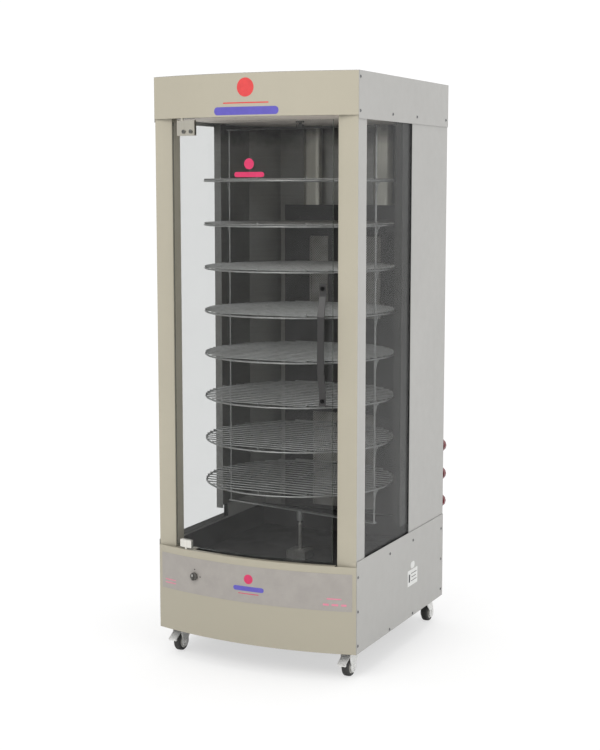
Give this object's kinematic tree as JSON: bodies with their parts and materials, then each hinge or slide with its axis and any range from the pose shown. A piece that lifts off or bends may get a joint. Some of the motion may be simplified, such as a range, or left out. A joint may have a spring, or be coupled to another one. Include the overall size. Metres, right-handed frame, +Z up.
{
  "type": "vertical rotisserie broiler",
  "caption": "Tall gas rotisserie cabinet with a bowed front, pivoting curved glass door, side windows and a motor-driven carousel of round wire shelves on swivel casters.",
  "frame": {"origin": "centre of the bounding box's footprint, on the floor", "axes": "+Z up; the front and the door face -Y; +X is the viewer's right when facing the door, the side with the handle and the gas knobs"},
  "size_m": [0.6846, 0.82, 1.8],
  "materials": {
    "beige_paint": "satin",
    "grey_paint": "satin",
    "ceiling_paint": "satin",
    "black_enamel": "satin",
    "liner_steel": "heat-darkened satin",
    "flue_steel": "satin",
    "burner_ceramic": "matte",
    "brass": "satin",
    "motor_enamel": "satin",
    "dark_steel": "satin",
    "zinc_steel": "zinc plated",
    "caster_zinc": "bright plated",
    "wheel_rubber": "matte",
    "shelf_wire": "nickel plated",
    "door_glass": "clear",
    "side_glass": "clear",
    "seal_rubber": "matte",
    "handle_black": "textured",
    "hinge_satin": "satin",
    "black_screw": "black oxide",
    "overlay_grey": "satin film",
    "black_plastic": "satin",
    "red_plastic": "gloss"
  },
  "bodies": {
    "cabinet": {"base_frame": "black_enamel", "base_front_panel": "beige_paint", "base_side_left": "grey_paint", "base_side_right": "grey_paint", "base_rear_panel": "grey_paint", "floor_pan": "black_enamel", "corner_post_left": "beige_paint", "corner_post_right": "beige_paint", "side_panel_left": "grey_paint", "side_panel_right": "grey_paint", "rear_panel": "grey_paint", "hood_front_panel": "beige_paint", "hood_cover": "grey_paint", "ceiling_panel": "ceiling_paint", "side_glass_left": "side_glass", "side_glass_right": "side_glass", "glass_seals": "seal_rubber", "oven_liner": "liner_steel", "burner_box": "black_enamel", "burners": "burner_ceramic", "gas_manifold": "brass", "gas_valves": "brass", "flue_ducts": "flue_steel", "gearmotor": "motor_enamel", "hub_bearing": "dark_steel", "top_bearing": "zinc_steel", "control_overlay": "overlay_grey", "switch_body": "black_plastic", "panel_screws": "zinc_steel", "power_inlet": "black_plastic", "caster_plates": "zinc_steel"},
    "carousel": {"drive_spindle": "dark_steel", "carousel_frame": "shelf_wire", "shelf_1": "shelf_wire", "shelf_2": "shelf_wire", "shelf_3": "shelf_wire", "shelf_4": "shelf_wire", "shelf_5": "shelf_wire", "shelf_6": "shelf_wire", "shelf_7": "shelf_wire", "shelf_8": "shelf_wire"},
    "door": {"door_glass": "door_glass", "door_handle": "handle_black", "hinge_clamp_top": "hinge_satin", "hinge_clamp_bottom": "hinge_satin", "door_screws": "black_screw"},
    "motor_switch": {"switch_knob": "black_plastic"},
    "gas_knob_1": {"valve_knob_1": "red_plastic"},
    "gas_knob_2": {"valve_knob_2": "red_plastic"},
    "gas_knob_3": {"valve_knob_3": "red_plastic"},
    "fork_fl": {"caster_fork_fl": "caster_zinc"},
    "wheel_fl": {"caster_wheel_fl": "wheel_rubber"},
    "fork_fr": {"caster_fork_fr": "caster_zinc"},
    "wheel_fr": {"caster_wheel_fr": "wheel_rubber"},
    "fork_rl": {"caster_fork_rl": "caster_zinc"},
    "wheel_rl": {"caster_wheel_rl": "wheel_rubber"},
    "fork_rr": {"caster_fork_rr": "caster_zinc"},
    "wheel_rr": {"caster_wheel_rr": "wheel_rubber"},
    "pedal_fl": {"brake_pedal_fl": "caster_zinc"},
    "pedal_fr": {"brake_pedal_fr": "caster_zinc"}
  },
  "joints": [
    {"name": "door_hinge", "type": "hinge", "parent": "cabinet", "child": "door", "pos_m": [-0.23, -0.37728, 1.013], "axis": [0, 0, -1], "range_deg": [0, 110]},
    {"name": "carousel_spin", "type": "hinge", "parent": "cabinet", "child": "carousel", "pos_m": [0, -0.03901, 1], "axis": [0, 0, 1], "continuous": true},
    {"name": "switch_turn", "type": "hinge", "parent": "cabinet", "child": "motor_switch", "pos_m": [-0.192, -0.3903, 0.273], "axis": [0.1626, 0.9867, 0], "range_deg": [0, 90]},
    {"name": "gas_valve_1_turn", "type": "hinge", "parent": "cabinet", "child": "gas_knob_1", "pos_m": [0.316, 0.38899, 0.408], "axis": [0, 1, 0], "range_deg": [0, 210]},
    {"name": "gas_valve_2_turn", "type": "hinge", "parent": "cabinet", "child": "gas_knob_2", "pos_m": [0.316, 0.38899, 0.502], "axis": [0, 1, 0], "range_deg": [0, 210]},
    {"name": "gas_valve_3_turn", "type": "hinge", "parent": "cabinet", "child": "gas_knob_3", "pos_m": [0.316, 0.38899, 0.599], "axis": [0, 1, 0], "range_deg": [0, 210]},
    {"name": "swivel_fl", "type": "hinge", "parent": "cabinet", "child": "fork_fl", "pos_m": [-0.293, -0.28401, 0.07], "axis": [0, 0, 1], "continuous": true},
    {"name": "roll_fl", "type": "hinge", "parent": "fork_fl", "child": "wheel_fl", "pos_m": [-0.293, -0.30601, 0.031], "axis": [1, 0, 0], "continuous": true},
    {"name": "swivel_fr", "type": "hinge", "parent": "cabinet", "child": "fork_fr", "pos_m": [0.293, -0.28401, 0.07], "axis": [0, 0, 1], "continuous": true},
    {"name": "roll_fr", "type": "hinge", "parent": "fork_fr", "child": "wheel_fr", "pos_m": [0.293, -0.30601, 0.031], "axis": [1, 0, 0], "continuous": true},
    {"name": "swivel_rl", "type": "hinge", "parent": "cabinet", "child": "fork_rl", "pos_m": [-0.3, 0.31599, 0.07], "axis": [0, 0, 1], "continuous": true},
    {"name": "roll_rl", "type": "hinge", "parent": "fork_rl", "child": "wheel_rl", "pos_m": [-0.3, 0.33799, 0.031], "axis": [1, 0, 0], "continuous": true},
    {"name": "swivel_rr", "type": "hinge", "parent": "cabinet", "child": "fork_rr", "pos_m": [0.3, 0.31599, 0.07], "axis": [0, 0, 1], "continuous": true},
    {"name": "roll_rr", "type": "hinge", "parent": "fork_rr", "child": "wheel_rr", "pos_m": [0.3, 0.33799, 0.031], "axis": [1, 0, 0], "continuous": true},
    {"name": "brake_fl", "type": "hinge", "parent": "fork_fl", "child": "pedal_fl", "pos_m": [-0.293, -0.32401, 0.066], "axis": [1, 0, 0], "range_deg": [0, 16], "stiffness_Nm_per_rad": 0.5, "springref_deg": -8.59},
    {"name": "brake_fr", "type": "hinge", "parent": "fork_fr", "child": "pedal_fr", "pos_m": [0.293, -0.32401, 0.066], "axis": [1, 0, 0], "range_deg": [0, 16], "stiffness_Nm_per_rad": 0.5, "springref_deg": -8.59}
  ]
}
